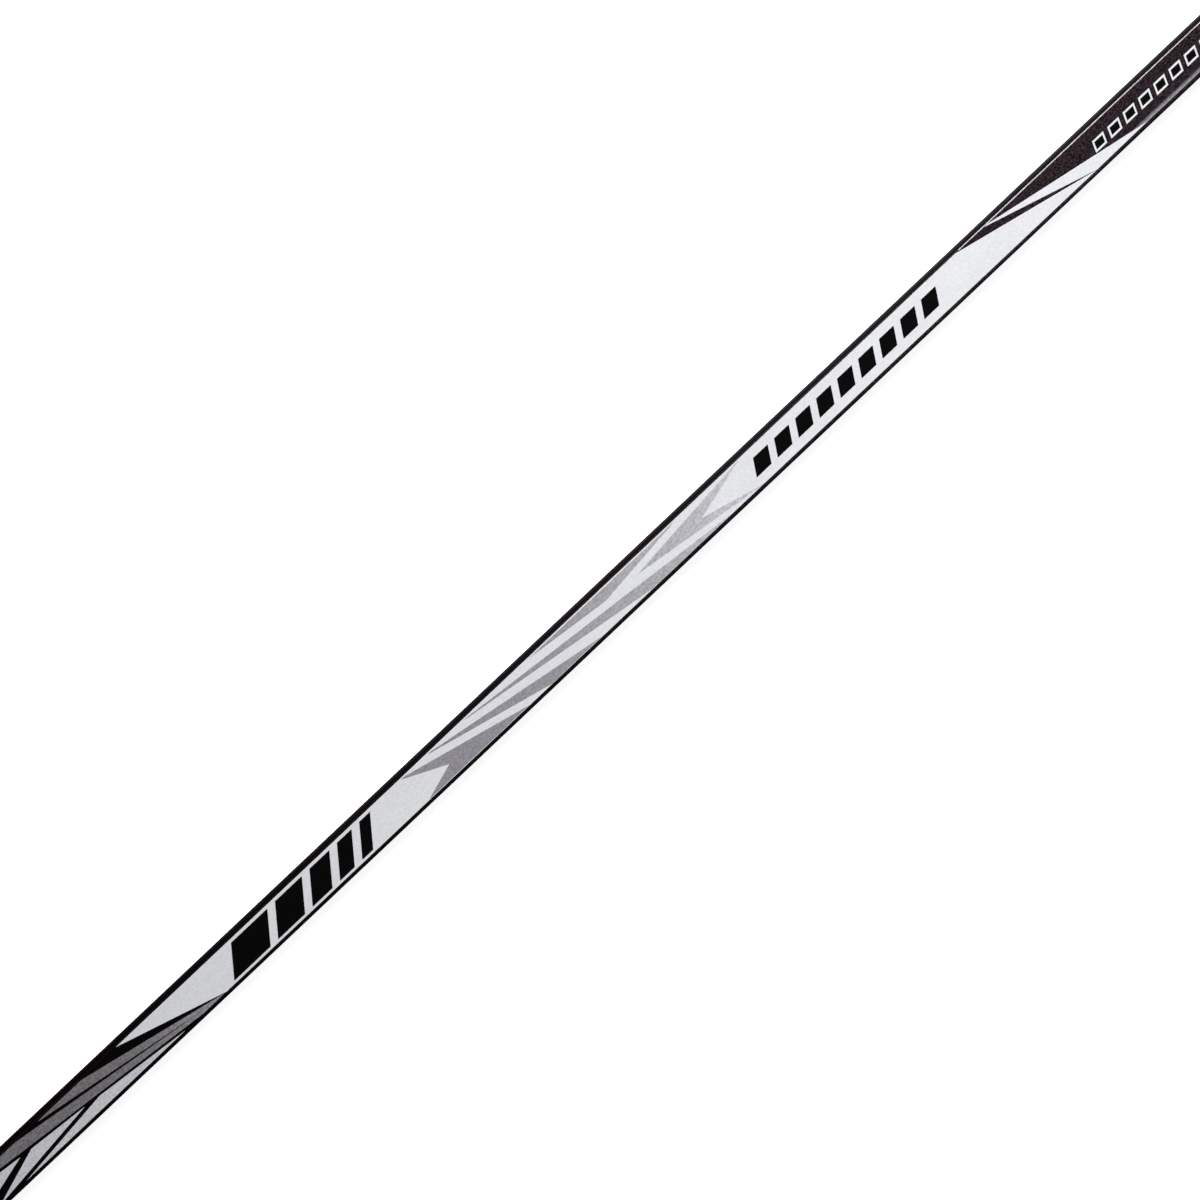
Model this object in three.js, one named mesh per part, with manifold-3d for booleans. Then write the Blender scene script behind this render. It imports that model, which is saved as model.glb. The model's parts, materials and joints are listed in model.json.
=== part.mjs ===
// A ringette stick: a laminated wood shaft with glass skins and printed faces, a moulded grooved tip
// riveted over one end and a moulded cap bonded over the other.
//
// Lengths are millimetres. X runs along the stick from the tip to the butt, Y across the wide faces,
// and Z through the thickness, from the back face at zero up to the front face.
// The origin is at mid-length, in the middle of the back face.

import * as THREE from "three";
import { mergeVertices } from "three/addons/utils/BufferGeometryUtils.js";
import Module from "manifold-3d";

const wasm = await Module();
wasm.setup();

// Shaft
const stickLength = 1500;
const shaftWidth = 30;
const cornerRadius = 2.5;
const cornerSteps = 8;

// Layers of the shaft, from the middle out
const corePlyThickness = 3;
const innerPlyThickness = 2.6;
const middlePlyThickness = 2.6;
const outerPlyThickness = 2.3;
const glassSkinThickness = 0.7;
const printFilmThickness = 0.3;

// Moulded tip
const tipLength = 135;
const tipCollarLength = 50;
const tipEndWidth = 22;
const tipEndThickness = 15;
const tipEndCornerRadius = 5;
const noseLength = 9;
const noseSideRounding = 8;
const noseFaceRounding = 5;
const noseSteps = 10;
const socketSideWall = 3.2;

// Grooves round the tip
const groovePitch = 7;
const grooveWidth = 3.8;
const grooveDepth = 1.1;
const grooveMargin = 8;
const grooveSteps = 6;

// Rivets through the tip and the tenon
const rivetDiameter = 4;
const rivetHeadDiameter = 7.2;
const rivetRimHeight = 0.4;
const rivetRecess = 0.2;
const rivetInset = 16;
const rivetSpacing = 24;
const rivetEndMargin = 16;
const rivetCount = 2;
const rivetSides = 28;

// Butt cap
const capLength = 30;
const capEndWall = 8;
const capEndRounding = 3;
const capSteps = 6;

// Grip rings round the cap
const ringCount = 3;
const ringPitch = 4.6;
const ringWidth = 2.6;
const ringDepth = 0.7;
const ringMargin = 6;
const ringSteps = 5;

// Fits and cuts
const bondGap = 0.3;
const rivetClearance = 0.3;
const overrun = 2;

// Sizes that follow
const tenonThickness = corePlyThickness + 2 * (innerPlyThickness + middlePlyThickness);
const faceThickness = outerPlyThickness + glassSkinThickness + printFilmThickness;
const shaftThickness = tenonThickness + 2 * faceThickness;
const tenonWidth = shaftWidth - 2 * (socketSideWall + bondGap);
const tipTenonLength = rivetInset + (rivetCount - 1) * rivetSpacing + rivetEndMargin;
const buttTenonLength = capLength - capEndWall - bondGap;
const tipShoulderX = tipLength - stickLength / 2;
const buttShoulderX = stickLength / 2 - capLength;
const middleHeight = shaftThickness / 2;

const birch = { color: 0xd6b98a, roughness: 0.6, metalness: 0 };
const aspen = { color: 0xe2cda4, roughness: 0.65, metalness: 0 };
const glassResin = { color: 0xb9b08a, roughness: 0.35, metalness: 0 };
const printedBlack = { color: 0x0b0a0b, roughness: 0.3, metalness: 0 };
const blackNylon = { color: 0x141416, roughness: 0.5, metalness: 0 };
const brightAluminium = { color: 0xc9ccd0, roughness: 0.35, metalness: 1 };
const blackRubber = { color: 0x19191a, roughness: 0.75, metalness: 0 };

function piece(name, geometry, finish) {
  const mesh = new THREE.Mesh(geometry, new THREE.MeshStandardMaterial(finish));
  mesh.name = name;
  return mesh;
}

// A geometry as a solid for joining and cutting, with shared corners merged and flat slivers left out.
function toSolid(geometry) {
  const plain = geometry.clone();
  plain.deleteAttribute("normal");
  plain.deleteAttribute("uv");
  const merged = mergeVertices(plain);
  const corners = merged.getIndex().array;
  const kept = [];
  for (let first = 0; first < corners.length; first += 3) {
    const [a, b, c] = corners.slice(first, first + 3);
    if (a !== b && b !== c && c !== a) {
      kept.push(a, b, c);
    }
  }
  const vertProperties = merged.getAttribute("position").array;
  return new wasm.Manifold(new wasm.Mesh({ numProp: 3, vertProperties, triVerts: new Uint32Array(kept) }));
}

function toGeometry(solid) {
  const { vertProperties, triVerts } = solid.getMesh();
  const geometry = new THREE.BufferGeometry();
  geometry.setAttribute("position", new THREE.BufferAttribute(vertProperties, 3));
  geometry.setIndex(new THREE.BufferAttribute(triVerts, 1));
  geometry.computeVertexNormals();
  return geometry;
}

// A section drawn across (its x along Y, its y along Z), extruded along X.
function extrudeAlongShaft(section, fromX, toX) {
  const geometry = new THREE.ExtrudeGeometry(section, { depth: toX - fromX, bevelEnabled: false });
  const axes = new THREE.Matrix4().makeBasis(
    new THREE.Vector3(0, 1, 0),
    new THREE.Vector3(0, 0, 1),
    new THREE.Vector3(1, 0, 0),
  );
  geometry.applyMatrix4(axes);
  geometry.translate(fromX, 0, 0);
  return geometry;
}

// The share of a quarter turn done at each step round a corner, as an angle.
function cornerAngle(step) {
  return (step / cornerSteps) * (Math.PI / 2);
}

// Half the shaft's width at a height above the back face, narrower where the corners are rounded.
function shaftHalfWidth(height) {
  const fromFace = Math.min(height, shaftThickness - height);
  const belowCentre = Math.max(0, cornerRadius - fromFace);
  return shaftWidth / 2 - cornerRadius + Math.sqrt(Math.max(0, cornerRadius ** 2 - belowCentre ** 2));
}

// The slice of the shaft's rounded section between two heights.
function layerSection(low, high) {
  const heights = [low, high];
  for (let step = 0; step <= cornerSteps; step += 1) {
    const fromFace = cornerRadius * (1 - Math.cos(cornerAngle(step)));
    heights.push(fromFace, shaftThickness - fromFace);
  }
  const inside = heights.filter((height) => height >= low && height <= high);
  const levels = [...new Set(inside)].sort((a, b) => a - b);
  const right = levels.map((height) => new THREE.Vector2(shaftHalfWidth(height), height));
  const left = levels.map((height) => new THREE.Vector2(-shaftHalfWidth(height), height));
  return new THREE.Shape([...right, ...left.reverse()]);
}

// The plan of the layers that run on into the tip and the cap, with a tenon at each end.
function tenonedPlan() {
  const wide = shaftWidth / 2 + overrun;
  const narrow = tenonWidth / 2;
  const tipEndX = tipShoulderX - tipTenonLength;
  const buttEndX = buttShoulderX + buttTenonLength;
  const upperEdge = [
    new THREE.Vector2(tipEndX, narrow),
    new THREE.Vector2(tipShoulderX, narrow),
    new THREE.Vector2(tipShoulderX, wide),
    new THREE.Vector2(buttShoulderX, wide),
    new THREE.Vector2(buttShoulderX, narrow),
    new THREE.Vector2(buttEndX, narrow),
  ];
  const lowerEdge = upperEdge.map((point) => new THREE.Vector2(point.x, -point.y)).reverse();
  return new THREE.Shape([...lowerEdge, ...upperEdge]);
}

// Distance of each rivet from the shoulder, towards the nose.
function rivetPlaces() {
  return Array.from({ length: rivetCount }, (_, place) => rivetInset + place * rivetSpacing);
}

// A countersunk rivet turned about Z, or with a clearance and an overrun the hole that takes it.
function rivetGeometry(clearance, endHeight) {
  const head = rivetHeadDiameter / 2 + clearance;
  const shank = rivetDiameter / 2 + clearance;
  const rimHeight = rivetRecess + rivetRimHeight;
  const shankHeight = rimHeight + (rivetHeadDiameter - rivetDiameter) / 2;
  const lowerHalf = [
    new THREE.Vector2(0, endHeight),
    new THREE.Vector2(head, endHeight),
    new THREE.Vector2(head, rimHeight),
    new THREE.Vector2(shank, shankHeight),
  ];
  const upperHalf = lowerHalf.map((point) => new THREE.Vector2(point.x, shaftThickness - point.y)).reverse();
  const geometry = new THREE.LatheGeometry([...lowerHalf, ...upperHalf], rivetSides);
  geometry.rotateX(Math.PI / 2);
  return geometry;
}

function rivetHoles() {
  const holes = rivetPlaces().map((place) => {
    const hole = rivetGeometry(rivetClearance, -overrun);
    hole.translate(tipShoulderX - place, 0, 0);
    return toSolid(hole);
  });
  return holes.reduce((all, hole) => all.add(hole));
}

// One layer of the shaft between two heights. A tenoned layer runs on into both end pieces.
function shaftLayer(low, high, tenoned) {
  const section = layerSection(low, high);
  if (!tenoned) {
    return extrudeAlongShaft(section, tipShoulderX, buttShoulderX);
  }
  const board = extrudeAlongShaft(section, -stickLength / 2, stickLength / 2);
  const plan = new THREE.ExtrudeGeometry(tenonedPlan(), {
    depth: shaftThickness + 2 * overrun,
    bevelEnabled: false,
  });
  plan.translate(0, 0, -overrun);
  return toGeometry(toSolid(board).intersect(toSolid(plan)).subtract(rivetHoles()));
}

// One ring of a loft: a rounded rectangle across X, counter-clockwise seen from +X.
function roundedRing({ x, halfWidth, halfThickness, radius }) {
  const points = [];
  const quarters = [[1, 1], [-1, 1], [-1, -1], [1, -1]];
  quarters.forEach(([sideY, sideZ], quarter) => {
    for (let step = 0; step <= cornerSteps; step += 1) {
      const angle = cornerAngle(step) + (quarter * Math.PI) / 2;
      const y = sideY * (halfWidth - radius) + radius * Math.cos(angle);
      const z = sideZ * (halfThickness - radius) + radius * Math.sin(angle);
      points.push(new THREE.Vector3(x, y, middleHeight + z));
    }
  });
  return points;
}

// A closed body through rings that follow one another towards +X.
function loft(stations) {
  const rings = stations.map(roundedRing);
  const around = rings[0].length;
  const last = (rings.length - 1) * around;
  const faces = [];
  for (let ring = 0; ring < rings.length - 1; ring += 1) {
    for (let point = 0; point < around; point += 1) {
      const here = ring * around + point;
      const beside = ring * around + ((point + 1) % around);
      faces.push(here, beside, beside + around);
      faces.push(here, beside + around, here + around);
    }
  }
  for (let point = 1; point < around - 1; point += 1) {
    faces.push(0, point + 1, point);
    faces.push(last, last + point, last + point + 1);
  }
  const geometry = new THREE.BufferGeometry().setFromPoints(rings.flat());
  geometry.setIndex(faces);
  geometry.computeVertexNormals();
  return geometry;
}

// The tip's section at a reach from the shoulder: straight along the collar, then tapering to the nose.
function tipStation(reach, sideInset, faceInset) {
  const share = THREE.MathUtils.clamp((reach - tipCollarLength) / (tipLength - tipCollarLength), 0, 1);
  const halfWidth = THREE.MathUtils.lerp(shaftWidth, tipEndWidth, share) / 2 - sideInset;
  const halfThickness = THREE.MathUtils.lerp(shaftThickness, tipEndThickness, share) / 2 - faceInset;
  const fullRadius = THREE.MathUtils.lerp(cornerRadius, tipEndCornerRadius, share);
  const mostRadiusShare = 0.95;
  const radius = Math.min(fullRadius, mostRadiusShare * Math.min(halfWidth, halfThickness));
  return { x: tipShoulderX - reach, halfWidth, halfThickness, radius };
}

// A round-bottomed groove, as places from its middle along X with how deep it is there.
function grooveProfile(width, depth, steps) {
  const bottomRadius = (width ** 2 / 4 + depth ** 2) / (2 * depth);
  return Array.from({ length: steps + 1 }, (_, step) => {
    const along = (step / steps - 1 / 2) * width;
    return { along, inset: Math.sqrt(bottomRadius ** 2 - along ** 2) - (bottomRadius - depth) };
  });
}

// Grooves cut all the way round the tapered part, as many as fit before the nose.
function grooveStations() {
  const firstReach = tipTenonLength + bondGap + grooveMargin;
  const lastReach = tipLength - noseLength - grooveWidth;
  const stations = [];
  for (let centre = firstReach; centre <= lastReach; centre += groovePitch) {
    for (const { along, inset } of grooveProfile(grooveWidth, grooveDepth, grooveSteps)) {
      stations.push(tipStation(centre + along, inset, inset));
    }
  }
  return stations;
}

function noseStations() {
  const stations = [];
  for (let step = 0; step <= noseSteps; step += 1) {
    const angle = (step / noseSteps) * (Math.PI / 2);
    const reach = tipLength - noseLength * (1 - Math.sin(angle));
    const roundedShare = 1 - Math.cos(angle);
    stations.push(tipStation(reach, noseSideRounding * roundedShare, noseFaceRounding * roundedShare));
  }
  return stations;
}

// The hollow that takes a tenon, with room for the bond, open past the given mouth.
function socket(mouthX, floorX) {
  const geometry = new THREE.BoxGeometry(
    Math.abs(mouthX - floorX),
    tenonWidth + 2 * bondGap,
    tenonThickness + 2 * bondGap,
  );
  geometry.translate((mouthX + floorX) / 2, 0, middleHeight);
  return toSolid(geometry);
}

function tipGeometry() {
  const stations = [
    tipStation(bondGap, 0, 0),
    tipStation(tipCollarLength, 0, 0),
    ...grooveStations(),
    ...noseStations(),
  ];
  const body = toSolid(loft(stations.reverse()));
  const hollow = socket(tipShoulderX + overrun, tipShoulderX - tipTenonLength - bondGap);
  return toGeometry(body.subtract(hollow).subtract(rivetHoles()));
}

// The cap's section at a place along X, as wide as the shaft less the given inset.
function capStation(x, inset) {
  return {
    x,
    halfWidth: shaftWidth / 2 - inset,
    halfThickness: shaftThickness / 2 - inset,
    radius: cornerRadius,
  };
}

function ringStations() {
  const stations = [];
  for (let ring = 0; ring < ringCount; ring += 1) {
    const centre = buttShoulderX + ringMargin + ring * ringPitch;
    for (const { along, inset } of grooveProfile(ringWidth, ringDepth, ringSteps)) {
      stations.push(capStation(centre + along, inset));
    }
  }
  return stations;
}

function capGeometry() {
  const stations = [capStation(buttShoulderX + bondGap, 0), ...ringStations()];
  for (let step = 0; step <= capSteps; step += 1) {
    const angle = (step / capSteps) * (Math.PI / 2);
    const x = stickLength / 2 - capEndRounding * (1 - Math.sin(angle));
    stations.push(capStation(x, capEndRounding * (1 - Math.cos(angle))));
  }
  const hollow = socket(buttShoulderX - overrun, buttShoulderX + buttTenonLength + bondGap);
  return toGeometry(toSolid(loft(stations)).subtract(hollow));
}

function shaft() {
  const group = new THREE.Group();
  const layers = [
    { name: "inner_ply", thickness: innerPlyThickness, finish: aspen, tenoned: true },
    { name: "middle_ply", thickness: middlePlyThickness, finish: birch, tenoned: true },
    { name: "outer_ply", thickness: outerPlyThickness, finish: birch, tenoned: false },
    { name: "glass_skin", thickness: glassSkinThickness, finish: glassResin, tenoned: false },
    { name: "print_film", thickness: printFilmThickness, finish: printedBlack, tenoned: false },
  ];
  let low = middleHeight + corePlyThickness / 2;
  group.add(piece("core_ply", shaftLayer(shaftThickness - low, low, true), aspen));
  for (const { name, thickness, finish, tenoned } of layers) {
    const high = low + thickness;
    group.add(piece(`front_${name}`, shaftLayer(low, high, tenoned), finish));
    group.add(piece(`back_${name}`, shaftLayer(shaftThickness - high, shaftThickness - low, tenoned), finish));
    low = high;
  }
  return group;
}

function tip() {
  const group = new THREE.Group();
  group.add(piece("tip", tipGeometry(), blackNylon));
  rivetPlaces().forEach((place, index) => {
    const rivet = piece(`tip_rivet_${index + 1}`, rivetGeometry(0, rivetRecess), brightAluminium);
    rivet.position.x = tipShoulderX - place;
    group.add(rivet);
  });
  return group;
}

const ringetteStick = new THREE.Group();
ringetteStick.add(shaft());
ringetteStick.add(tip());
ringetteStick.add(piece("butt_cap", capGeometry(), blackRubber));

export default ringetteStick;
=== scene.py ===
"""A ringette stick lying on a pale studio floor, seen along the printed shaft.

Lengths in the tables are millimetres, and MM turns them into Blender's metres. X runs along the stick towards
the butt, Y across the printed face and Z up through the thickness.
"""

import json
import math

import bmesh
import bpy
from mathutils import Matrix, Vector


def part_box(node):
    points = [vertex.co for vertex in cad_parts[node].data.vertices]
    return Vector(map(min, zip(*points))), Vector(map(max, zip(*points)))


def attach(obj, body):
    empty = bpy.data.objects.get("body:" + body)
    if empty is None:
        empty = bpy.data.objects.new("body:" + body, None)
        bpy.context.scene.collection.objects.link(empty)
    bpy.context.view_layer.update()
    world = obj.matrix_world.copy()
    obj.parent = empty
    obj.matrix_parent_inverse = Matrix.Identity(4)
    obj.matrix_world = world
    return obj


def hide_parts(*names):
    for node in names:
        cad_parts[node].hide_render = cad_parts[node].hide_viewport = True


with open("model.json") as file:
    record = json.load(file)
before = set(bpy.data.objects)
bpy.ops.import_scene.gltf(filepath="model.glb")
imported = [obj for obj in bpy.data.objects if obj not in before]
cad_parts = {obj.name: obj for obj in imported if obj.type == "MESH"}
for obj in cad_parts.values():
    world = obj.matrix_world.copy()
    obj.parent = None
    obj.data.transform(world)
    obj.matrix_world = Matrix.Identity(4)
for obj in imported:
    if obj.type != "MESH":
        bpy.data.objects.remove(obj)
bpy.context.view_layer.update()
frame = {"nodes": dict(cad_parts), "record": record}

MM = 0.001

# Shaft section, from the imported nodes
FILM_LOW, FILM_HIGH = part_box("front_print_film")
SHAFT_HALF_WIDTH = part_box("front_middle_ply")[1].y
SHAFT_THICKNESS = FILM_HIGH.z
CORNER_RADIUS = 2.5 * MM
CORNER_STEPS = 8
FLAT_HALF_WIDTH = SHAFT_HALF_WIDTH - CORNER_RADIUS
LACQUER_FROM = SHAFT_HALF_WIDTH - 2 * CORNER_RADIUS / 3

# Printed layers, each a thin coat over the one before
COAT = 0.03 * MM
COATS = 3
KEYED_IN = 0.5 * COAT

# Camera: how the shaft lies in the picture, how far it is turned off square, and how wide the picture is
SHAFT_ROLL = math.radians(43.34)
END_LEAN = math.radians(2.5)
SIDE_TILT = math.radians(6.4)
CAMERA_DISTANCE = 2.5
PICTURE_WIDTH = 0.814
LOOK_AT = Vector((12.0, 6.07, 10.0)) * MM

# Lights, in metres and watts
KEY_LIGHT = {"place": (0.75, 0.95, 1.30), "aim": (0.1, 0, 0), "size": 0.9, "power": 31}
FILL_LIGHT = {"place": (-0.90, 0.80, 1.60), "aim": (-0.3, 0, 0), "size": 1.2, "power": 2.5}

# Studio surround: its strength low down and overhead, low down in reflections, and the heights between
WORLD_LOW = 0.48
WORLD_HIGH = 0.08
WORLD_LOW_REFLECTED = 1.0
WORLD_HEIGHTS = (0.25, 0.75)

# Floor
FLOOR_SHADE = 0.82
FLOOR_GLOW = 0.84
FLOOR_HALF = 6.0
FLOOR_DROP = 0.1 * MM

# Shapes of the print on the front face, each the corners of one colour, as (along, across)
PALE_FIELD = [(-430.6, 12.0), (-351.8, -12.1), (-150, -12.1), (150, -11.87), (459.5, -12.1),
              (348.7, 12.8), (120, 12.45), (-100, 12.4), (-180, 12.1)]
PALE_SLASH = [(375.6, 12.5), (459.9, -12.1), (507.5, -11.75), (378.4, 12.5)]
PALE_SHARDS = [
    [(-575, 7.65), (-527.2, 2.15), (-575, -10.05)],
    [(-518.0, 1.2), (-472.9, -2.85), (-558.9, -12.1)],
    [(-535.0, -12.15), (-461.0, -4.4), (-389.5, -12.1)],
]
DARK_SLASHES = [(-596.6, 11.85), (-522.9, 11.85), (-368.5, -10.8), (-502.5, 11.55), (-497, 11.85),
                (-462.5, 11.85), (-353.1, -12.0), (-373.1, -12.1)]
GREY_SLASHES = [
    [(-169.3, 11.25), (-166.2, 11.25), (-71.8, -11.75), (-164.7, -11.75), (-138.2, -3.65)],
    [(-144.8, 11.25), (-141.4, 11.25), (-3.9, -11.75), (-51.1, -11.75)],
    [(-111.7, 11.25), (-107.9, 11.25), (118.3, -11.75), (43.4, -11.75)],
    [(-50.6, 11.5), (13.7, 4.1), (87.1, 11.5)],
    [(42.2, 2.35), (141.0, 11.65), (144.3, 11.65), (99.9, 0.25), (146.5, -11.75), (143.9, -11.75)],
]
# Painted highlight: a pale line printed along the top rim, where the rounded edge catches the light
EDGE_HIGHLIGHT_LINE = [(352, 13.3), (352, 12.7), (384, 12.6), (720, 12.5), (720, 13.05)]
# Painted sheen: a soft light band printed along the low rim, where the rounded edge catches the light
EDGE_SHEEN_BAND = [(500, -11.85), (478, -7.6), (720, -7.6), (720, -11.85)]

# Rows of plain slanted bars: first and last along, low and high across
BOLD_BARS = {"along": (-343, -199), "across": (-10.4, 9.9), "count": 5, "gap": 7, "slant": 16,
             "narrowing": 0.74}
SMALL_BARS = {"along": (146, 324), "across": (-5.5, 6.0), "count": 9, "gap": 5.9, "slant": 7}
BLOCKS = {"along": (467, 596), "across": (-3.4, 4.3), "count": 9, "gap": 4.0, "slant": 3}
BLOCK_LINE = 1.4

# Colours of the print, linear. The pale line's colour is a painted highlight, the band's colours are painted
# sheen, and the flecks are partly painted sheen
BLACK = (0.0012, 0.0007, 0.0008)
# Fleck colours, which lighten the black towards the butt end partly as painted sheen
FLECK_SHEEN_WARM = (0.0760, 0.0420, 0.0400)
FLECK_SHEEN_COOL = (0.0490, 0.0380, 0.0580)
PALE = (0.80, 0.81, 0.845)
SHARD = (0.66, 0.665, 0.71)
DARK = (0.200, 0.188, 0.203)
DARK_FAR = (0.300, 0.285, 0.312)
GREY = (0.308, 0.296, 0.326)
GREY_FAR = (0.580, 0.576, 0.622)
# Painted highlight colour of the pale line along the top rim
HIGHLIGHT_LINE = (0.610, 0.575, 0.620)
# Painted sheen colours of the soft band along the low rim, near and far along
SHEEN_BAND = (0.295, 0.282, 0.320)
SHEEN_BAND_FAR = (0.205, 0.192, 0.220)

# Where a printed colour fades along the stick, in millimetres. The band's dimming and start are painted sheen,
# and the flecks' fade towards the butt end is partly painted sheen
DARK_FADE = (-430, -365)
GREY_FADE = (-120, 135)
GREY_FADE_POWER = 1.7
# Painted sheen band: where it dims along the stick and where it starts
SHEEN_BAND_DIM = (530, 600)
SHEEN_BAND_START = (484, 504)
# Fleck fade, partly painted sheen: the black ground lightens towards the butt end
FLECK_SHEEN_FADE = (-450, 410)
FLECK_SHEEN_FADE_POWER = 2.0

# Across the face: where the painted sheen band fades in, where the low rim is lightened with painted sheen and
# by how much, and where that ends along
SHEEN_BAND_FADE = (8.8, 11.0)
SHEEN_RIM = (-13.5, -12.2)
RIM_SHEEN = 0.8
RIM_SHEEN_FADE = (500, 465)

# Inks: share of mottle in each, gloss of the lacquer over them and over the black ground
MOTTLED = 0.17
MOTTLED_PALE = 0.05
MOTTLED_SHARD = 0.12
MOTTLED_DARK = 0.25
MOTTLED_GROUND = 0.2
CLOUDED = 0.015
INK_ROUGHNESS = 0.36
INK_GLOSS = {"coat": 0.06, "coat_roughness": 0.2, "specular": 0.1}
GROUND_GLOSS = {"coat": 0.05, "coat_roughness": 0.2, "specular": 0.08}

# Black lacquer on the narrow sides: its colours, lightened towards the butt end with painted sheen, where they
# fade, and how light its painted sheen is from middle to rim
LACQUER = (0.0030, 0.0011, 0.0014)
# Painted sheen: the lacquer's lighter colour towards the butt end, and where it fades in
LACQUER_SHEEN_FAR = (0.0130, 0.0105, 0.0118)
LACQUER_SHEEN_FADE = (-520, 330)
# Painted sheen: how much lighter the lacquer is in the middle of the narrow side than at its rims, and where
LACQUER_SHEEN = (3.5, 0.8)
LACQUER_SHEEN_AT = (1, 9)

# Bare materials, in linear colours: wood, glass cloth between its threads and on them, plastic and metal
BIRCH = {"light": (0.62, 0.44, 0.24), "dark": (0.46, 0.30, 0.15)}
ASPEN = {"light": (0.72, 0.58, 0.38), "dark": (0.60, 0.45, 0.27)}
PORES_DARKER = 0.6
CLOTH = ((0.42, 0.38, 0.25), (0.66, 0.62, 0.48))
NYLON = {"colour": (0.018, 0.018, 0.020), "roughness": 0.42, "grain": 0.35, "scuff": 0.35,
         "scuff_fade": (-700, -745)}
RUBBER = {"colour": (0.020, 0.019, 0.019), "roughness": 0.62, "grain": 0.55, "scuff": 0.2,
          "scuff_fade": (735, 750)}
SCUFFS_LIGHTER = 5
ALUMINIUM = (0.42, 0.425, 0.43)

# Sizes of the materials' grains along, across and up
MOTTLE = (1.6, 1.3, 1.3)
STREAK = (30, 0.8, 0.8)
CLOUD = (45, 16, 16)
FLECK = (1.7, 0.32, 0.32)
FLECK_HUE = (1.3, 0.8, 0.8)
BRUSH = (9, 0.5, 0.5)
WOOD_GRAIN = (70, 1.1, 1.6)
WOOD_PORES = (6, 0.25, 0.3)
MOULD_CLOUD = (9, 6, 6)
MOULD_SCRATCH = (0.5, 3.5, 3.5)
METAL_STAIN = (1.1, 1.1, 1.1)
CLOTH_PERIOD = 1.7
TURNING_PERIOD = 0.22

# Heights of the materials' relief
MOTTLE_HEIGHT = 0.012
STREAK_HEIGHT = 0.025
BRUSH_HEIGHT = 0.012
WOOD_HEIGHT = 0.02
CLOTH_HEIGHT = 0.01
MOULD_GRAIN_HEIGHT = 0.035
MOULD_SCRATCH_HEIGHT = 0.01
TURNING_HEIGHT = 0.012
STAIN_HEIGHT = 0.03

# Seam of the mould on the tip and the cap: half its width at the crest and at the foot, and its height
MOULD_SEAM = (0.06, 0.24)
MOULD_SEAM_HEIGHT = 0.07

# Softened edges: their radii, the distance that is welded, and the angles that count as flat and as an edge
MOULDED_EDGE = 0.25
LAYER_EDGE = 0.06
RIVET_EDGE = 0.08
WELD = 0.001
FLAT_ANGLE = math.radians(0.4)
EDGE_ANGLE = math.radians(32)
EDGE_SEGMENTS = 2
LAYER_SLOTS = ("aspen_ply", "birch_ply", "glass_skin")

# Rivets: (radius, height), from the middle of the clinched end up to the middle of the domed head
RIVETS = ("tip_rivet_1", "tip_rivet_2")
RIVET_PROFILE = [
    (0, 1.3), (0.9, 1.25), (1.15, 0.45), (1.5, 0.22), (2.3, 0.2), (3.2, 0.34), (3.55, 0.5), (3.6, 0.62),
    (2.0, 2.2), (2.0, 17.8), (3.6, 19.38), (3.55, 19.52), (3.2, 19.68), (2.2, 19.82), (1.05, 19.88),
    (0.75, 19.72), (0, 19.66),
]
RIVET_SIDES = 48


def scaled(colour, factor):
    return tuple(factor * channel for channel in colour)


def clear_wires(material):
    """The node tree of a new material, with only its output left."""
    material.use_nodes = True
    tree = material.node_tree
    tree.nodes.clear()
    return tree, tree.nodes.new("ShaderNodeOutputMaterial")


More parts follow.
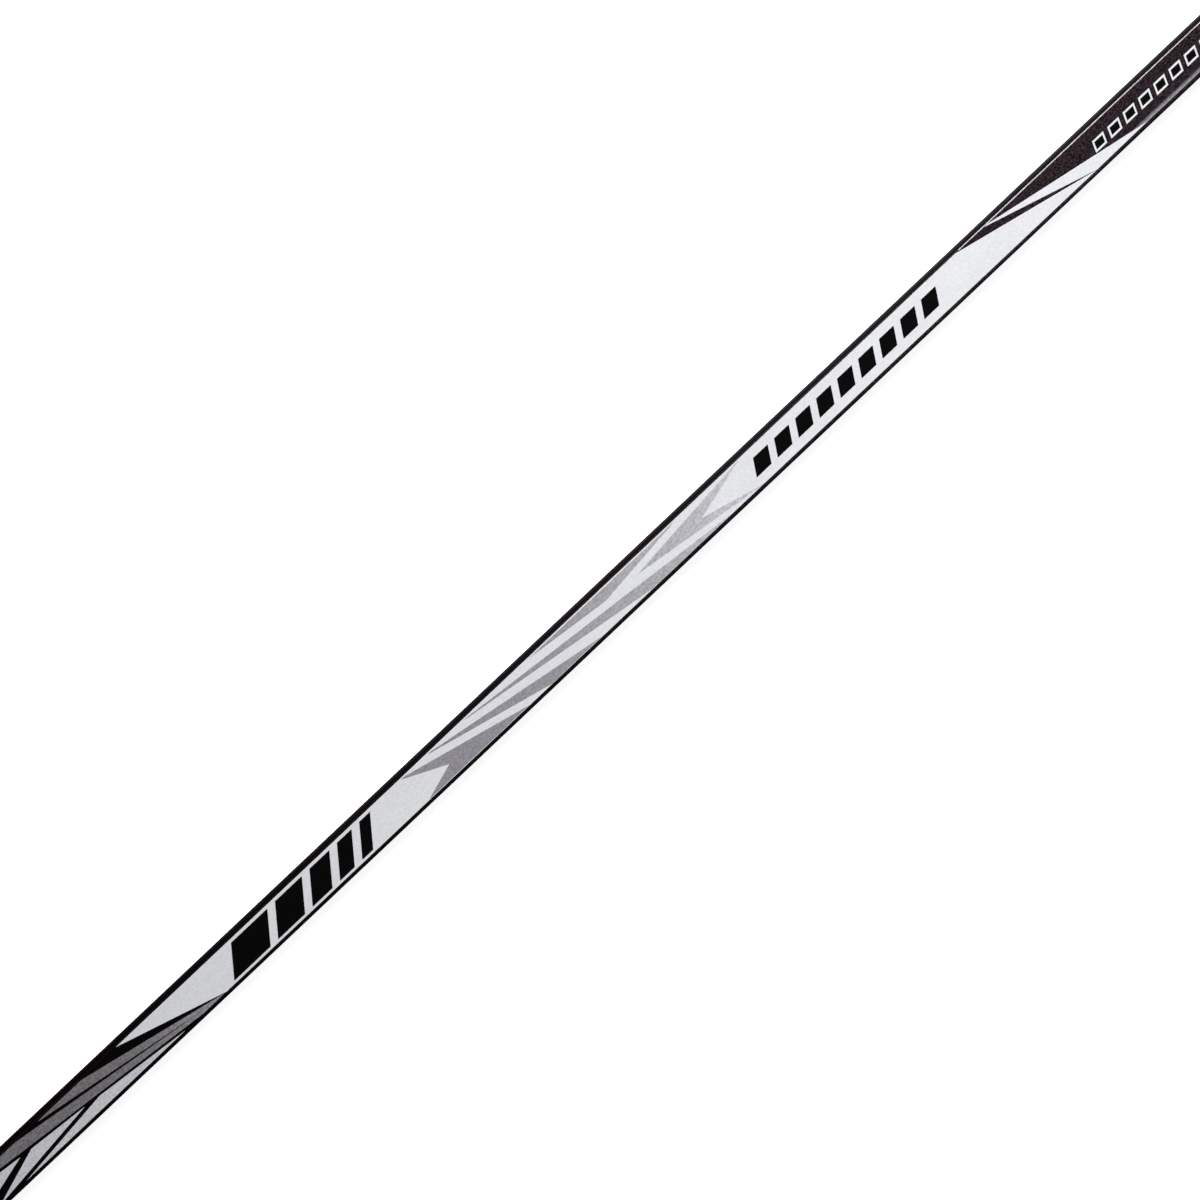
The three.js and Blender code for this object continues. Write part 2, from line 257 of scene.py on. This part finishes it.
class Surface:
    """A procedural material that is put together socket by socket, on object coordinates."""

    def __init__(self, name, coat=0.0, coat_roughness=0.1, specular=0.5, metallic=0.0):
        self.material = bpy.data.materials.new(name)
        self.tree, output = clear_wires(self.material)
        self.shader = self.add("ShaderNodeBsdfPrincipled")
        self.shader.inputs["Coat Weight"].default_value = coat
        self.shader.inputs["Coat Roughness"].default_value = coat_roughness
        self.shader.inputs["Specular IOR Level"].default_value = specular
        self.shader.inputs["Metallic"].default_value = metallic
        self.tree.links.new(self.shader.outputs["BSDF"], output.inputs["Surface"])
        self.place = self.add("ShaderNodeTexCoord").outputs["Object"]
        split = self.add("ShaderNodeSeparateXYZ")
        self.join(self.place, split.inputs["Vector"])
        self.along, self.across, self.height = split.outputs

    def add(self, kind):
        return self.tree.nodes.new(kind)

    def join(self, output, socket):
        self.tree.links.new(output, socket)

    def set(self, name, output):
        self.join(output, self.shader.inputs[name])

    def noise(self, grain, detail=3.0, roughness=0.6):
        """Noise whose grains measure about the given lengths along X, Y and Z, in millimetres."""
        mapping = self.add("ShaderNodeMapping")
        mapping.inputs["Scale"].default_value = [1 / (length * MM) for length in grain]
        self.join(self.place, mapping.inputs["Vector"])
        noise = self.add("ShaderNodeTexNoise")
        noise.inputs["Scale"].default_value = 1.0
        noise.inputs["Detail"].default_value = detail
        noise.inputs["Roughness"].default_value = roughness
        self.join(mapping.outputs["Vector"], noise.inputs["Vector"])
        return noise.outputs["Fac"]

    def wave(self, kind, direction, period):
        """A sine wave in bands or rings, with the given period in millimetres."""
        wave = self.add("ShaderNodeTexWave")
        wave.wave_type = kind
        wave.bands_direction = direction
        wave.rings_direction = direction
        wave.inputs["Scale"].default_value = math.pi / (10 * (period * MM))
        self.join(self.place, wave.inputs["Vector"])
        return wave.outputs["Fac"]

    def range(self, value, low, high, from_low=0.3, from_high=0.7):
        """A value between two numbers, from another one's usual range."""
        node = self.add("ShaderNodeMapRange")
        node.inputs["From Min"].default_value = from_low
        node.inputs["From Max"].default_value = from_high
        node.inputs["To Min"].default_value = low
        node.inputs["To Max"].default_value = high
        self.join(value, node.inputs["Value"])
        return node.outputs["Result"]

    def place_range(self, axis, low, high, ends):
        """A value between two numbers, from one place on an axis to another, in millimetres."""
        return self.range(axis, low, high, ends[0] * MM, ends[1] * MM)

    def fade(self, axis, ends, power=1.0):
        """A share that grows from 0 to 1 between two places on an axis, in millimetres."""
        share = self.place_range(axis, 0.0, 1.0, ends)
        return share if power == 1.0 else self.math("POWER", share, power)

    def mix(self, share, first, second):
        """A colour between two, each a colour or a socket."""
        node = self.add("ShaderNodeMix")
        node.data_type = "RGBA"
        for name, colour in (("A", first), ("B", second)):
            socket = next(s for s in node.inputs if s.name == name and s.type == "RGBA")
            if isinstance(colour, tuple):
                socket.default_value = (*colour, 1.0)
            else:
                self.join(colour, socket)
        self.join(share, node.inputs["Factor"])
        return next(s for s in node.outputs if s.type == "RGBA")

    def tint(self, colour, factor):
        """A colour, or a colour socket, made lighter and darker by a varying factor."""
        node = self.add("ShaderNodeVectorMath")
        node.operation = "SCALE"
        if isinstance(colour, tuple):
            node.inputs[0].default_value = colour
        else:
            self.join(colour, node.inputs[0])
        self.join(factor, node.inputs["Scale"])
        return node.outputs["Vector"]

    def math(self, operation, first, second=None):
        """The result of a sum on one or two values, each a number or a socket."""
        node = self.add("ShaderNodeMath")
        node.operation = operation
        for socket, value in zip(node.inputs, (first, second)):
            if value is None:
                continue
            if isinstance(value, (int, float)):
                socket.default_value = value
            else:
                self.join(value, socket)
        return node.outputs["Value"]

    def off_middle(self):
        """How far a point lies above or below the middle of the shaft's thickness."""
        return self.math("ABSOLUTE", self.math("SUBTRACT", self.height, SHAFT_THICKNESS / 2))

    def off_centre_line(self):
        """How far a point lies to either side of the stick's centre line."""
        return self.math("ABSOLUTE", self.across)

    def bump(self, relief, height, after=None):
        """A normal bent by a relief of the given height in millimetres, over another normal or none."""
        node = self.add("ShaderNodeBump")
        node.inputs["Distance"].default_value = height * MM
        node.inputs["Strength"].default_value = 1.0
        self.join(relief, node.inputs["Height"])
        if after is not None:
            self.join(after, node.inputs["Normal"])
        return node.outputs["Normal"]


def finish_ink(surface, colour, mottled):
    """Fine mottle, faint lengthwise streaks from the cloth below and soft gloss, over a printed colour."""
    mottle = surface.noise(MOTTLE, detail=1.5)
    streak = surface.noise(STREAK, detail=4.0)
    cloud = surface.noise(CLOUD, detail=1.0)
    colour = surface.tint(colour, surface.range(mottle, 1 - mottled, 1 + mottled, 0.36, 0.64))
    colour = surface.tint(colour, surface.range(streak, 1 + mottled / 3, 1 - mottled / 3))
    colour = surface.tint(colour, surface.range(cloud, 1 + CLOUDED, 1 - CLOUDED))
    surface.set("Base Color", colour)
    surface.set("Roughness", surface.range(mottle, INK_ROUGHNESS - 0.04, INK_ROUGHNESS + 0.05))
    grain = surface.bump(streak, STREAK_HEIGHT)
    surface.set("Normal", surface.bump(mottle, MOTTLE_HEIGHT, after=grain))
    return surface.material


def ink(name, colour, mottled=MOTTLED):
    return finish_ink(Surface(name, **INK_GLOSS), colour, mottled)


def fading_ink(name, colour, far, ends, power=1.0, mottled=MOTTLED):
    """An ink that changes from one colour to another along the stick."""
    surface = Surface(name, **INK_GLOSS)
    colour = surface.mix(surface.fade(surface.along, ends, power), colour, far)
    return finish_ink(surface, colour, mottled)


def flecked_black_with_sheen(surface):
    """The black ground: plain at the tip end, with fine warm and cool flecks that grow towards the butt end and
    lighten it there, partly as painted sheen.

    At its low rim it is lightened with painted sheen, up to where the painted sheen band starts.
    """
    fleck = surface.noise(FLECK, detail=2.0)
    hue = surface.noise(FLECK_HUE, detail=1.0)
    fleck_sheen_tone = surface.mix(surface.range(hue, 0.0, 1.0, 0.40, 0.60), FLECK_SHEEN_WARM, FLECK_SHEEN_COOL)
    flecked = surface.mix(surface.range(fleck, 0.0, 1.0, 0.49, 0.575), BLACK, fleck_sheen_tone)
    # Painted sheen: the low rim of the face is lightened
    rim = surface.place_range(surface.across, RIM_SHEEN, 0.0, SHEEN_RIM)
    rim = surface.math("MULTIPLY", rim, surface.fade(surface.along, RIM_SHEEN_FADE))
    flecked = surface.tint(flecked, surface.math("ADD", rim, 1.0))
    # Partly painted sheen: the flecks lighten the black more towards the butt end
    fleck_sheen_share = surface.fade(surface.along, FLECK_SHEEN_FADE, FLECK_SHEEN_FADE_POWER)
    return surface.mix(fleck_sheen_share, BLACK, flecked)


def ground_ink(name):
    surface = Surface(name, **GROUND_GLOSS)
    return finish_ink(surface, flecked_black_with_sheen(surface), MOTTLED_GROUND)


def sheen_band_ink(name):
    """Painted sheen: a soft light band along the print's low edge, fading into the black ground."""
    surface = Surface(name, **GROUND_GLOSS)
    # Painted sheen band, dimming along the stick
    sheen_band = surface.mix(surface.fade(surface.along, SHEEN_BAND_DIM), SHEEN_BAND, SHEEN_BAND_FAR)
    share = surface.fade(surface.off_centre_line(), SHEEN_BAND_FADE)
    share = surface.math("MULTIPLY", share, surface.fade(surface.along, SHEEN_BAND_START))
    return finish_ink(surface, surface.mix(share, flecked_black_with_sheen(surface), sheen_band), MOTTLED_GROUND)


def lacquered_edge(surface, inside):
    """A colour that turns to black lacquer on the narrow sides of the shaft.

    The lacquer is painted lighter along the middle of the narrow side and towards the butt end, as painted
    sheen. The share that is lacquered and the brush marks are handed back too.
    """
    brushed = surface.noise(BRUSH)
    # Painted sheen: the lacquer grows lighter towards the butt end
    lacquer = surface.mix(surface.fade(surface.along, LACQUER_SHEEN_FADE), LACQUER, LACQUER_SHEEN_FAR)
    lacquer = surface.tint(lacquer, surface.range(brushed, 0.6, 1.4, 0.35, 0.65))
    # Painted sheen: the lacquer is lighter along the middle of the narrow side
    side_sheen = surface.place_range(surface.off_middle(), *LACQUER_SHEEN, LACQUER_SHEEN_AT)
    lacquer = surface.tint(lacquer, side_sheen)
    outside = surface.math("GREATER_THAN", surface.off_centre_line(), LACQUER_FROM)
    return surface.mix(outside, inside, lacquer), outside, brushed


def lacquered_wood(name, light, dark):
    """Wood with straight grain inside, and black lacquer on the narrow sides of the shaft."""
    surface = Surface(name, specular=0.0)
    grain = surface.noise(WOOD_GRAIN, detail=5.0)
    pores = surface.noise(WOOD_PORES, detail=2.0)
    wood = surface.mix(surface.range(grain, 0.0, 1.0), light, dark)
    wood = surface.mix(surface.range(pores, 0.0, 0.6, 0.55, 0.75), wood, scaled(dark, PORES_DARKER))
    colour, outside, brushed = lacquered_edge(surface, wood)
    surface.set("Base Color", colour)
    bare = surface.range(grain, 0.55, 0.7)
    smoother = surface.math("MULTIPLY", outside, surface.range(brushed, 0.3, 0.24))
    surface.set("Roughness", surface.math("SUBTRACT", bare, smoother))
    marks = surface.bump(brushed, BRUSH_HEIGHT)
    surface.set("Normal", surface.bump(grain, WOOD_HEIGHT, after=marks))
    return surface.material


def glass_cloth(name):
    """Glass cloth in clear resin, with black lacquer where it reaches the rounded edges."""
    surface = Surface(name, specular=0.0)
    warp = surface.wave("BANDS", "X", CLOTH_PERIOD)
    weft = surface.wave("BANDS", "Y", CLOTH_PERIOD)
    weave = surface.math("MULTIPLY", warp, weft)
    colour, _, brushed = lacquered_edge(surface, surface.mix(weave, *CLOTH))
    surface.set("Base Color", colour)
    surface.set("Roughness", surface.range(brushed, 0.26, 0.36))
    marks = surface.bump(brushed, BRUSH_HEIGHT)
    surface.set("Normal", surface.bump(weave, CLOTH_HEIGHT, after=marks))
    return surface.material


def moulded(name, colour, roughness, grain, scuff, scuff_fade):
    """Moulded plastic or rubber: fine grain, cloudy sheen, and pale scuffs that grow along the stick.

    A thin seam runs round the narrow sides, where the two halves of the mould met.
    """
    surface = Surface(name, specular=0.4)
    pits = surface.noise((grain, grain, grain), detail=2.0)
    cloud = surface.noise(MOULD_CLOUD)
    scratch = surface.noise(MOULD_SCRATCH, roughness=0.7)
    share = surface.range(surface.fade(surface.along, scuff_fade), 0.25, 1.0, 0.0, 1.0)
    scuffs = surface.math("MULTIPLY", surface.range(scratch, 0.0, scuff, 0.54, 0.74), share)
    base = surface.tint(colour, surface.range(cloud, 0.8, 1.25))
    base = surface.tint(base, surface.range(pits, 0.85, 1.15))
    surface.set("Base Color", surface.mix(scuffs, base, scaled(colour, SCUFFS_LIGHTER)))
    sheen = surface.range(cloud, roughness - 0.06, roughness + 0.07)
    surface.set("Roughness", surface.math("ADD", sheen, scuffs))
    seam = surface.place_range(surface.off_middle(), 1.0, 0.0, MOULD_SEAM)
    scratched = surface.bump(scratch, MOULD_SCRATCH_HEIGHT)
    ridge = surface.bump(seam, MOULD_SEAM_HEIGHT, after=scratched)
    surface.set("Normal", surface.bump(pits, MOULD_GRAIN_HEIGHT, after=ridge))
    return surface.material


def turned_metal(name, colour):
    """Aluminium with fine turning marks round each rivet's axis, dulled by handling."""
    surface = Surface(name, metallic=1.0)
    rings = surface.wave("RINGS", "Z", TURNING_PERIOD)
    stain = surface.noise(METAL_STAIN, detail=4.0)
    surface.set("Base Color", surface.tint(colour, surface.range(stain, 1.1, 0.6)))
    surface.set("Roughness", surface.range(stain, 0.42, 0.64))
    stained = surface.bump(stain, STAIN_HEIGHT)
    surface.set("Normal", surface.bump(rings, TURNING_HEIGHT, after=stained))
    return surface.material


def corner_breaks():
    """(across, drop below the face) at each step round the rounded edge, from the flat outwards."""
    turns = [step / CORNER_STEPS * math.pi / 2 for step in range(CORNER_STEPS + 1)]
    return [(FLAT_HALF_WIDTH + CORNER_RADIUS * math.sin(t), CORNER_RADIUS * (1 - math.cos(t))) for t in turns]


def face_drop(across):
    """How far the printed face lies below its flat middle, at a place across the shaft."""
    breaks = corner_breaks()
    reach = abs(across)
    for (near, near_drop), (far, far_drop) in zip(breaks, breaks[1:]):
        if near <= reach <= far:
            return near_drop + (far_drop - near_drop) * (reach - near) / (far - near)
    return 0.0 if reach < FLAT_HALF_WIDTH else CORNER_RADIUS


def slanted_bars(along, across, count, gap, slant, narrowing=1.0):
    """Outlines of forward-slanted bars in a row, each narrower than the last by the given ratio."""
    (start, end), (low, high) = along, across
    shares = [narrowing ** place for place in range(count)]
    room = end - start - slant - gap * (count - 1)
    bars = []
    foot = start
    for share in shares:
        width = room * share / sum(shares)
        bars.append([(foot, low), (foot + width, low), (foot + width + slant, high), (foot + slant, high)])
        foot += width + gap
    return bars


def inset_bar(bar, line):
    """The inner outline of a bar that is drawn as a line of the given width."""
    (x0, low), (x1, _), (x2, high), (x3, _) = bar
    lean = (x3 - x0) / (high - low)
    rise = line * lean
    return [(x0 + line + rise, low + line), (x1 - line + rise, low + line),
            (x2 - line - rise, high - line), (x3 + line - rise, high - line)]


def new_object(name, mesh_builder, material):
    mesh = bpy.data.meshes.new(name)
    mesh_builder.to_mesh(mesh)
    mesh_builder.free()
    mesh.materials.append(material)
    piece = bpy.data.objects.new(name, mesh)
    bpy.context.scene.collection.objects.link(piece)
    return piece


def turn_to_back(piece):
    """Turns a piece that was made for the front face half round the stick's length, onto the back face."""
    middle = Matrix.Translation((0, 0, SHAFT_THICKNESS / 2))
    piece.data.transform(middle @ Matrix.Rotation(math.pi, 4, "X") @ middle.inverted())


def place_print(piece, face):
    if face == "back":
        turn_to_back(piece)
    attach(piece, "root")
    return piece


def printed_shape(name, face, shapes, coat, material):
    """A thin coat of ink on the face, one closed body for each outline, following the rounded edges."""
    builder = bmesh.new()
    for shape in shapes:
        builder.faces.new([builder.verts.new((x * MM, y * MM, 0)) for x, y in shape])
    for across, _ in corner_breaks()[:-1]:
        for side in (-1, 1):
            geometry = [*builder.verts, *builder.edges, *builder.faces]
            bmesh.ops.bisect_plane(builder, geom=geometry, plane_co=(0, side * across, 0), plane_no=(0, 1, 0))
    bmesh.ops.triangulate(builder, faces=builder.faces)
    film_top = SHAFT_THICKNESS - COATS * COAT
    for vert in builder.verts:
        vert.co.z = film_top - KEYED_IN - face_drop(vert.co.y)
    lower = list(builder.faces)
    upper = bmesh.ops.extrude_face_region(builder, geom=lower)["geom"]
    for vert in (item for item in upper if isinstance(item, bmesh.types.BMVert)):
        vert.co.z += KEYED_IN + coat * COAT
    bmesh.ops.recalc_face_normals(builder, faces=builder.faces)
    return place_print(new_object(f"{face}_{name}", builder, material), face)


def film_section():
    """The film's section across the shaft: its top from rim to rim, curling down over the rounded edges."""
    film_top = SHAFT_THICKNESS - COATS * COAT
    breaks = corner_breaks()
    right = [(across, film_top - drop) for across, drop in breaks if film_top - drop > FILM_LOW.z]
    rest = film_top - FILM_LOW.z
    rim = FLAT_HALF_WIDTH + math.sqrt(CORNER_RADIUS ** 2 - (CORNER_RADIUS - rest) ** 2)
    right.append((rim, FILM_LOW.z))
    return right + [(-across, height) for across, height in reversed(right)]


def print_film(face, material):
    """The film itself, a thin sheet with its ends under the tip and the cap."""
    builder = bmesh.new()
    section = film_section()
    rings = [[builder.verts.new((x, y, z)) for y, z in section] for x in (FILM_LOW.x, FILM_HIGH.x)]
    count = len(section)
    for point in range(count):
        beside = (point + 1) % count
        builder.faces.new((rings[0][point], rings[0][beside], rings[1][beside], rings[1][point]))
    for ring in rings:
        builder.faces.new(ring)
    bmesh.ops.recalc_face_normals(builder, faces=builder.faces)
    piece = place_print(new_object(f"{face}_film", builder, material), face)
    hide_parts(f"{face}_print_film")


def stripes(face, inks):
    """The print that both faces carry: the pale field with its slashes between two black ends, with a pale line
    of painted highlight and a band of painted sheen along the rims.
    """
    printed_shape("pale_field", face, [PALE_FIELD], 1, inks["pale"])
    printed_shape("pale_slash", face, [PALE_SLASH], 2, inks["pale"])
    printed_shape("pale_shards", face, PALE_SHARDS, 1, inks["shard"])
    # Painted highlight: the pale line along the top rim
    printed_shape("edge_highlight_line", face, [EDGE_HIGHLIGHT_LINE], 1, inks["line"])
    # Painted sheen: the soft light band along the low rim
    printed_shape("edge_sheen_band", face, [EDGE_SHEEN_BAND], 1, inks["sheen_band"])
    printed_shape("dark_slashes", face, [DARK_SLASHES], 2, inks["dark"])
    for number, shape in enumerate(GREY_SLASHES, 1):
        printed_shape(f"grey_slash_{number}", face, [shape], 2, inks["grey"])


def marks(face, inks):
    """Rows of plain slanted bars, bold and small on the pale field, and outlined blocks on the black end."""
    printed_shape("bold_bars", face, slanted_bars(**BOLD_BARS), 3, inks["black"])
    printed_shape("small_bars", face, slanted_bars(**SMALL_BARS), 3, inks["black"])
    blocks = slanted_bars(**BLOCKS)
    printed_shape("blocks", face, blocks, 2, inks["pale"])
    hearts = [inset_bar(block, BLOCK_LINE) for block in blocks]
    printed_shape("block_hearts", face, hearts, 3, inks["black"])


def make_inks():
    return {
        "black": ink("black_ink", BLACK),
        "ground": ground_ink("black_ground"),
        "pale": ink("pale_ink", PALE, MOTTLED_PALE),
        "shard": ink("shard_ink", SHARD, MOTTLED_SHARD),
        "dark": fading_ink("dark_ink", DARK, DARK_FAR, DARK_FADE, mottled=MOTTLED_DARK),
        "grey": fading_ink("grey_ink", GREY, GREY_FAR, GREY_FADE, GREY_FADE_POWER),
        # Painted highlight ink for the pale edge line
        "line": ink("highlight_line_ink", HIGHLIGHT_LINE),
        # Painted sheen ink for the soft band along the low rim
        "sheen_band": sheen_band_ink("sheen_band_ink"),
    }


def turned(profile, sides):
    """A closed body turned round Z from (radius, height) points whose first and last lie on the axis."""
    builder = bmesh.new()
    rings = []
    for radius, height in profile:
        turns = [2 * math.pi * side / sides for side in range(sides if radius else 1)]
        points = [(radius * math.cos(t), radius * math.sin(t), height) for t in turns]
        rings.append([builder.verts.new(Vector(point) * MM) for point in points])
    for lower, upper in zip(rings, rings[1:]):
        for side in range(sides):
            beside = (side + 1) % sides
            corners = [lower[side % len(lower)], lower[beside % len(lower)],
                       upper[beside % len(upper)], upper[side % len(upper)]]
            builder.faces.new(list(dict.fromkeys(corners)))
    bmesh.ops.recalc_face_normals(builder, faces=builder.faces)
    return builder


def rivet(node, material):
    """A semi-tubular rivet in a packed rivet's place: a low domed head in front, a clinched ring behind."""
    low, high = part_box(node)
    piece = new_object(f"{node}_turned", turned(RIVET_PROFILE, RIVET_SIDES), material)
    piece.location = ((low.x + high.x) / 2, (low.y + high.y) / 2, 0)
    smooth(piece, RIVET_EDGE)
    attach(piece, "root")
    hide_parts(node)


def finish_nodes(metal):
    """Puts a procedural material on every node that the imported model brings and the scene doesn't replace."""
    finishes = {
        "birch_ply": lacquered_wood("birch_ply", **BIRCH),
        "aspen_ply": lacquered_wood("aspen_ply", **ASPEN),
        "glass_skin": glass_cloth("glass_skin"),
        "tip_nylon": moulded("tip_nylon", **NYLON),
        "rivet_metal": metal,
        "cap_rubber": moulded("cap_rubber", **RUBBER),
    }
    for row in frame["record"]["subparts"]:
        material = finishes.get(row["material_slot"])
        if material:
            node = frame["nodes"][row["node"]]
            node.data.materials.clear()
            node.data.materials.append(material)


def smooth(piece, radius):
    """Rounds a piece's sharp edges a little and shades it smoothly, with its flat faces kept flat."""
    piece.data.polygons.foreach_set("use_smooth", [True] * len(piece.data.polygons))
    weld = piece.modifiers.new("weld", "WELD")
    weld.merge_threshold = WELD * MM
    flats = piece.modifiers.new("flats", "DECIMATE")
    flats.decimate_type = "DISSOLVE"
    flats.angle_limit = FLAT_ANGLE
    bevel = piece.modifiers.new("soft_edges", "BEVEL")
    bevel.width = radius * MM
    bevel.segments = EDGE_SEGMENTS
    bevel.limit_method = "ANGLE"
    bevel.angle_limit = EDGE_ANGLE
    piece.modifiers.new("flat_shading", "WEIGHTED_NORMAL")


def soften_nodes():
    """Softens the edges of the moulded pieces and of the layers of the shaft."""
    smooth(frame["nodes"]["tip"], MOULDED_EDGE)
    smooth(frame["nodes"]["butt_cap"], MOULDED_EDGE)
    for row in frame["record"]["subparts"]:
        if row["material_slot"] in LAYER_SLOTS:
            smooth(frame["nodes"][row["node"]], LAYER_EDGE)


def seen_by(tree, *rays):
    """A share that is 1 for the given kinds of ray and 0 for the others."""
    path = tree.nodes.new("ShaderNodeLightPath")
    share = path.outputs[rays[0]]
    for ray in rays[1:]:
        either = tree.nodes.new("ShaderNodeMath")
        either.operation = "MAXIMUM"
        tree.links.new(share, either.inputs[0])
        tree.links.new(path.outputs[ray], either.inputs[1])
        share = either.outputs["Value"]
    return share


def floor_material():
    """Pale floor that the camera sees as white, apart from the object's soft shadow."""
    material = bpy.data.materials.new("pale_floor")
    tree, output = clear_wires(material)
    diffuse = tree.nodes.new("ShaderNodeBsdfDiffuse")
    diffuse.inputs["Color"].default_value = (FLOOR_SHADE, FLOOR_SHADE, FLOOR_SHADE, 1)
    glow = tree.nodes.new("ShaderNodeEmission")
    strength = tree.nodes.new("ShaderNodeMath")
    strength.operation = "MULTIPLY"
    strength.inputs[1].default_value = FLOOR_GLOW
    seen = seen_by(tree, "Is Camera Ray", "Is Glossy Ray", "Is Transmission Ray")
    tree.links.new(seen, strength.inputs[0])
    tree.links.new(strength.outputs["Value"], glow.inputs["Strength"])
    both = tree.nodes.new("ShaderNodeAddShader")
    tree.links.new(diffuse.outputs["BSDF"], both.inputs[0])
    tree.links.new(glow.outputs["Emission"], both.inputs[1])
    tree.links.new(both.outputs["Shader"], output.inputs["Surface"])
    return material


def make_floor():
    builder = bmesh.new()
    bmesh.ops.create_grid(builder, x_segments=1, y_segments=1, size=FLOOR_HALF)
    floor = new_object("studio_floor", builder, floor_material())
    floor.location.z = -FLOOR_DROP


def world_strength(tree):
    """The surround's strength: paler low down than overhead, most of all in reflections."""
    low = tree.nodes.new("ShaderNodeMapRange")
    low.inputs["To Min"].default_value = WORLD_LOW
    low.inputs["To Max"].default_value = WORLD_LOW_REFLECTED
    tree.links.new(seen_by(tree, "Is Glossy Ray", "Is Transmission Ray"), low.inputs["Value"])
    place = tree.nodes.new("ShaderNodeTexCoord")
    split = tree.nodes.new("ShaderNodeSeparateXYZ")
    tree.links.new(place.outputs["Generated"], split.inputs["Vector"])
    height = tree.nodes.new("ShaderNodeMapRange")
    height.inputs["From Min"].default_value = WORLD_HEIGHTS[0]
    height.inputs["From Max"].default_value = WORLD_HEIGHTS[1]
    height.inputs["To Max"].default_value = WORLD_HIGH
    tree.links.new(split.outputs["Z"], height.inputs["Value"])
    tree.links.new(low.outputs["Result"], height.inputs["To Min"])
    return height.outputs["Result"]


def make_world():
    """Soft studio surround, which the camera sees as white."""
    world = bpy.data.worlds.new("studio")
    bpy.context.scene.world = world
    world.use_nodes = True
    tree = world.node_tree
    tree.nodes.clear()
    output = tree.nodes.new("ShaderNodeOutputWorld")
    background = tree.nodes.new("ShaderNodeBackground")
    background.inputs["Color"].default_value = (1, 1, 1, 1)
    seen = tree.nodes.new("ShaderNodeMath")
    seen.operation = "MAXIMUM"
    tree.links.new(world_strength(tree), seen.inputs[0])
    tree.links.new(seen_by(tree, "Is Camera Ray"), seen.inputs[1])
    tree.links.new(seen.outputs["Value"], background.inputs["Strength"])
    tree.links.new(background.outputs["Background"], output.inputs["Surface"])


def softbox(name, place, aim, size, power):
    light = bpy.data.lights.new(name, "AREA")
    light.size = size
    light.energy = power
    lamp = bpy.data.objects.new(name, light)
    lamp.location = place
    lamp.rotation_euler = (Vector(aim) - Vector(place)).to_track_quat("-Z", "Y").to_euler()
    bpy.context.scene.collection.objects.link(lamp)


def camera_turn():
    """The camera's turn, with the shaft rolled, leaned and tilted as it lies in the photograph."""
    along = Vector((math.cos(SHAFT_ROLL), math.sin(SHAFT_ROLL), 0))
    up = Vector((-math.sin(SHAFT_ROLL), math.cos(SHAFT_ROLL), 0))
    back = Vector((0, 0, 1))
    x_axis = math.cos(END_LEAN) * along - math.sin(END_LEAN) * back
    tilt = math.sin(SIDE_TILT)
    level = math.tan(END_LEAN) * tilt
    y_axis = level * along + math.sqrt(1 - level ** 2 - tilt ** 2) * up + tilt * back
    return Matrix((x_axis, y_axis, x_axis.cross(y_axis)))


def make_camera():
    turn = camera_turn()
    lens = bpy.data.cameras.new("camera")
    lens.angle = 2 * math.atan(PICTURE_WIDTH / 2 / CAMERA_DISTANCE)
    camera = bpy.data.objects.new("camera", lens)
    place = LOOK_AT + turn @ Vector((0, 0, 1)) * CAMERA_DISTANCE
    camera.matrix_world = Matrix.Translation(place) @ turn.to_4x4()
    bpy.context.scene.collection.objects.link(camera)
    bpy.context.scene.camera = camera


make_camera()
bpy.context.scene.view_settings.view_transform = "Standard"
make_world()
make_floor()
softbox("key", **KEY_LIGHT)
softbox("fill", **FILL_LIGHT)

inks = make_inks()
for face in ("front", "back"):
    print_film(face, inks["ground"])
    stripes(face, inks)
marks("front", inks)
metal = turned_metal("rivet_metal", ALUMINIUM)
finish_nodes(metal)
soften_nodes()
for node in RIVETS:
    rivet(node, metal)
